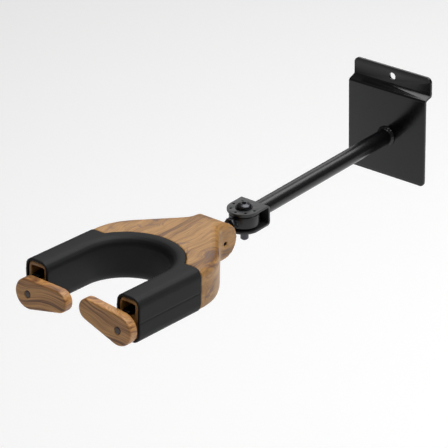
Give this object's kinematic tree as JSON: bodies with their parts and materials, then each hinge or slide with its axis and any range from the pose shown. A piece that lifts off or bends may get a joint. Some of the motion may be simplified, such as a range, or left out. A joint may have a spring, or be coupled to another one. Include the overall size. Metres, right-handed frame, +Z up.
{
  "type": "wall guitar hanger",
  "caption": "Slatwall guitar hanger: bent hanging plate, tubular arm, indexed swivel and a tilted wooden yoke in a soft black sleeve, with swinging wooden gates across its mouth.",
  "frame": {"origin": "on the back face of the hanging plate, where the arm's axis meets the wall", "axes": "+Y into the wall, so the hanger reaches along -Y; +Z up; +X to the right seen from the front"},
  "size_m": [0.1024, 0.3577, 0.0861],
  "materials": {
    "black_paint": "gloss black paint over sheet and tube",
    "black_steel": "satin black coated steel",
    "dark_steel": "blackened steel fasteners",
    "yoke_wood": "oiled honey-brown hardwood with dark streaks",
    "gate_wood": "oiled honey-brown hardwood",
    "soft_rubber": "satin black soft moulded rubber",
    "plug_wood": "dark turned plug",
    "brass": "plain turned brass"
  },
  "bodies": {
    "wall_arm": {"slatwall_plate": "black_paint", "tube_collar": "black_paint", "arm_tube": "black_paint", "swivel_bracket": "black_steel", "bolt_washer": "dark_steel", "pivot_bolt": "dark_steel", "lower_thrust_washer": "dark_steel"},
    "swinging_yoke": {"index_disc": "black_steel", "detent_ball": "dark_steel", "pivot_barrel": "black_steel", "neck_stud": "dark_steel", "jam_nut": "black_steel", "neck_insert": "brass", "neck_grub_screw": "brass", "yoke_body": "yoke_wood", "pad_sleeve": "soft_rubber", "gate_screw_left": "dark_steel", "gate_washer_left": "dark_steel", "arm_insert_left": "brass", "gate_spring_left": "dark_steel", "gate_screw_right": "dark_steel", "gate_washer_right": "dark_steel", "arm_insert_right": "brass", "gate_spring_right": "dark_steel"},
    "left_gate": {"gate_left": "gate_wood", "gate_bush_left": "brass", "gate_plug_left": "plug_wood"},
    "right_gate": {"gate_right": "gate_wood", "gate_bush_right": "brass", "gate_plug_right": "plug_wood"}
  },
  "joints": [
    {"name": "yoke_swivel", "type": "hinge", "parent": "wall_arm", "child": "swinging_yoke", "pos_m": [0, -0.171, 0], "axis": [0, 0, 1], "range_deg": [-90, 90]},
    {"name": "left_gate_hinge", "type": "hinge", "parent": "swinging_yoke", "child": "left_gate", "pos_m": [-0.04, -0.34033, 0.00324], "axis": [0, -0.998, 0.0628], "range_deg": [-6, 84]},
    {"name": "right_gate_hinge", "type": "hinge", "parent": "swinging_yoke", "child": "right_gate", "pos_m": [0.04, -0.34033, 0.00324], "axis": [0, 0.998, -0.0628], "range_deg": [-12.5, 77.5]}
  ]
}
